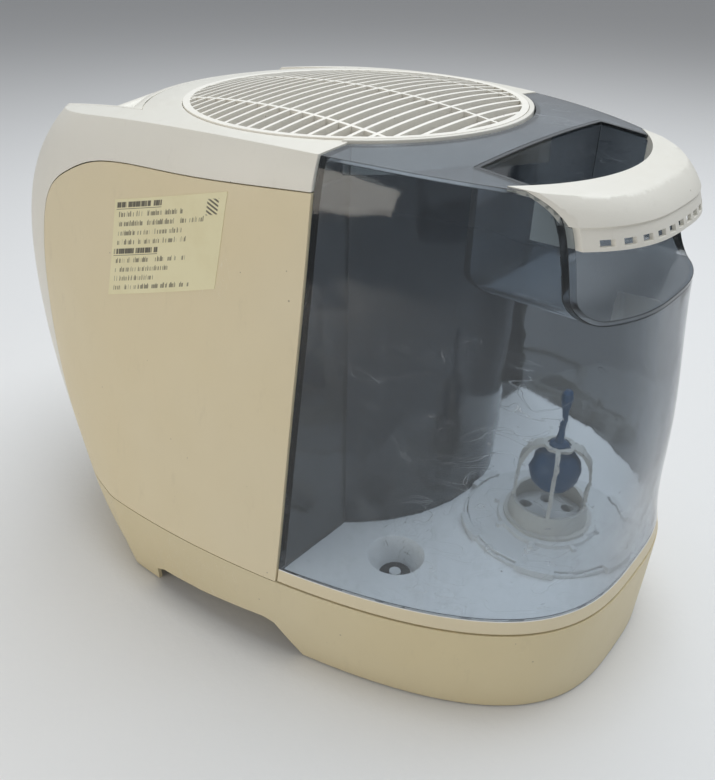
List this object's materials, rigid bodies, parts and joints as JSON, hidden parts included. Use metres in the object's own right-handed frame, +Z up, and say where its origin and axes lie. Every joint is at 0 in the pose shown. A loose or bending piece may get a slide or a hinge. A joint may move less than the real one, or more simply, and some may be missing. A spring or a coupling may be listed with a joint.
{
  "type": "cool mist humidifier",
  "caption": "Evaporative cool mist humidifier: fan housing over a wick in a water tray, domed top grille, two knobs, and a lift-off clear tank with a grip and a float cap.",
  "frame": {"origin": "on the ground under the middle of the body, cord not counted", "axes": "+Z up, controls face -Y, tank end faces +Y"},
  "size_m": [0.5019, 0.4634, 0.3169],
  "materials": {
    "shell_plastic": "satin moulded",
    "panel_plastic": "satin moulded",
    "tray_plastic": "satin moulded",
    "fascia_plastic": "satin moulded",
    "grille_plastic": "satin moulded",
    "inner_plastic": "moulded",
    "floor_plastic": "moulded, mineral specks",
    "cap_plastic": "moulded",
    "cage_plastic": "moulded",
    "tank_plastic": "smoke tinted clear plastic",
    "float_plastic": "foamed",
    "fan_plastic": "moulded",
    "knob_plastic": "moulded",
    "switch_plastic": "moulded",
    "valve_plastic": "moulded",
    "cord_plastic": "extruded",
    "tie_plastic": "twist tie",
    "foot_rubber": "moulded",
    "seal_rubber": "moulded",
    "wick_paper": "corrugated",
    "label_paper": "printed",
    "motor_steel": "satin",
    "bracket_steel": "zinc plated",
    "shaft_steel": "turned",
    "blade_brass": "stamped"
  },
  "bodies": {
    "base": {"water_tray": "tray_plastic", "tray_floor": "tray_plastic", "foot_posts": "tray_plastic", "wick_seat": "tray_plastic", "valve_post": "tray_plastic", "rubber_feet": "foot_rubber", "wick_filter": "wick_paper", "wick_top_ring": "inner_plastic", "cord_gland": "cord_plastic", "power_cord": "cord_plastic", "cord_hank": "cord_plastic", "cord_tie": "tie_plastic", "plug": "cord_plastic", "plug_blades": "blade_brass"},
    "housing": {"hood": "shell_plastic", "side_panel_right": "panel_plastic", "side_panel_left": "panel_plastic", "control_fascia": "fascia_plastic", "front_intake": "panel_plastic", "rear_wall": "inner_plastic", "outlet_grille": "grille_plastic", "air_duct": "inner_plastic", "motor_bracket": "bracket_steel", "fan_motor": "motor_steel", "motor_screws": "shaft_steel", "speed_switch": "switch_plastic", "humidistat": "switch_plastic", "side_label": "label_paper"},
    "fan": {"fan_shaft": "shaft_steel", "fan_blades": "fan_plastic", "fan_nut": "fan_plastic"},
    "speed_control": {"speed_knob": "knob_plastic", "speed_shaft": "shaft_steel"},
    "humidity_control": {"humidity_knob": "knob_plastic", "humidity_shaft": "shaft_steel"},
    "tank": {"tank_shell": "tank_plastic", "tank_pocket": "tank_plastic", "tank_floor": "floor_plastic", "tank_handle": "shell_plastic", "cap_collar": "floor_plastic", "valve_spring": "shaft_steel"},
    "cap": {"tank_cap": "cap_plastic", "cap_gasket": "seal_rubber", "float_cage": "cage_plastic"},
    "float": {"float_ball": "float_plastic", "float_stem": "float_plastic"},
    "valve": {"valve_plunger": "valve_plastic", "valve_seal": "seal_rubber", "valve_clip": "valve_plastic"}
  },
  "joints": [
    {"name": "housing_lift", "type": "slide", "parent": "base", "child": "housing", "axis": [0, 0, 1], "range_m": [0, 0.25]},
    {"name": "tank_lift", "type": "slide", "parent": "base", "child": "tank", "axis": [0, 0, 1], "range_m": [0, 0.3]},
    {"name": "fan_spin", "type": "hinge", "parent": "housing", "child": "fan", "pos_m": [0, 0.009, 0.26], "axis": [0, 0, 1], "continuous": true},
    {"name": "speed_knob_turn", "type": "hinge", "parent": "housing", "child": "speed_control", "pos_m": [0.033, -0.15369, 0.27629], "axis": [0.1224, -0.6034, 0.788], "range_deg": [0, 270]},
    {"name": "humidity_knob_turn", "type": "hinge", "parent": "housing", "child": "humidity_control", "pos_m": [-0.033, -0.15369, 0.27629], "axis": [-0.1224, -0.6034, 0.788], "range_deg": [0, 300]},
    {"name": "cap_turn", "type": "hinge", "parent": "tank", "child": "cap", "pos_m": [0, 0.171, 0.066], "axis": [0, 0, 1], "range_deg": [0, 60]},
    {"name": "float_rise", "type": "slide", "parent": "cap", "child": "float", "axis": [0, 0, 1], "range_m": [0, 0.002]},
    {"name": "outlet_valve", "type": "slide", "parent": "tank", "child": "valve", "axis": [0, 0, 1], "range_m": [0, 0.003], "stiffness_N_per_m": 200, "springref_m": -0.003, "deforming": ["valve_spring"]}
  ]
}
